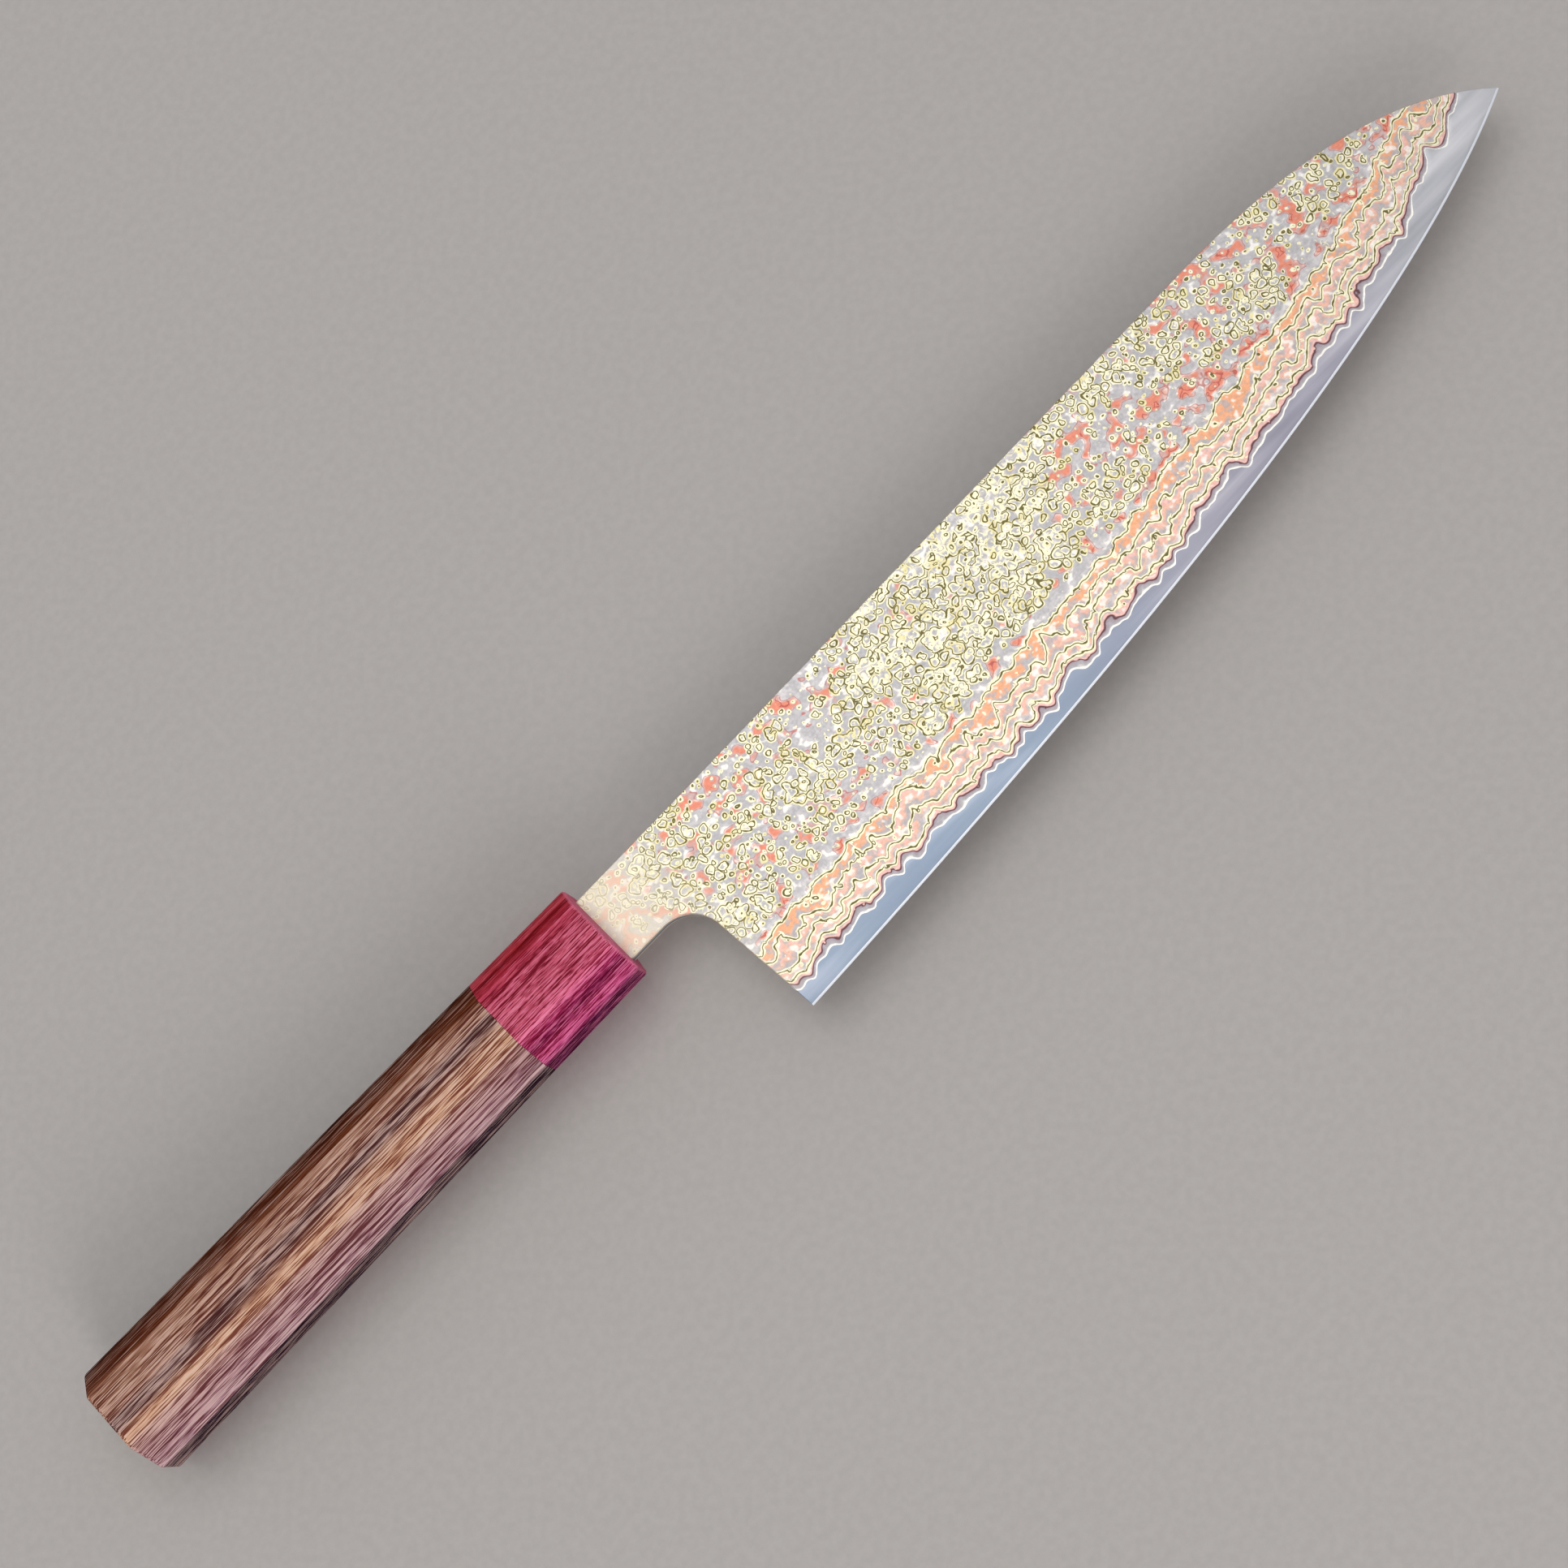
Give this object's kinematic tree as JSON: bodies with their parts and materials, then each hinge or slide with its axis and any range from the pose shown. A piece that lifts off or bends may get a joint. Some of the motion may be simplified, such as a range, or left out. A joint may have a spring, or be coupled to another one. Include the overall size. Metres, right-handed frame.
{
  "type": "chef knife",
  "caption": "Long laminated chef knife blade with a curved edge and rounded choil, glued into an octagonal tapered wooden handle with a dyed ferrule.",
  "frame": {"origin": "bottom centre of the bounding box, with the knife lying on its left side", "axes": "+X along the knife to the tip, +Y in the blade's plane from edge to spine, +Z out of the blade's right face"},
  "size_m": [0.4054, 0.0574, 0.0244],
  "materials": {
    "core_steel": "satin",
    "nickel": "polished",
    "cladding_steel": "etched satin",
    "copper": "etched satin",
    "brass": "etched satin",
    "tang_steel": "as ground",
    "adhesive": "cured resin",
    "dowel_wood": "raw",
    "ferrule_wood": "dyed, polished",
    "handle_wood": "oiled, polished"
  },
  "bodies": {
    "root": {"core_steel": "core_steel", "right_nickel_foil": "nickel", "right_inner_steel": "cladding_steel", "right_inner_copper": "copper", "right_inner_brass": "brass", "right_middle_steel": "cladding_steel", "right_outer_copper": "copper", "right_outer_brass": "brass", "right_face_steel": "cladding_steel", "left_nickel_foil": "nickel", "left_inner_steel": "cladding_steel", "left_inner_copper": "copper", "left_inner_brass": "brass", "left_middle_steel": "cladding_steel", "left_outer_copper": "copper", "left_outer_brass": "brass", "left_face_steel": "cladding_steel", "tang": "tang_steel", "tang_adhesive": "adhesive", "handle_dowel": "dowel_wood", "ferrule": "ferrule_wood", "handle_body": "handle_wood"}
  },
  "joints": []
}
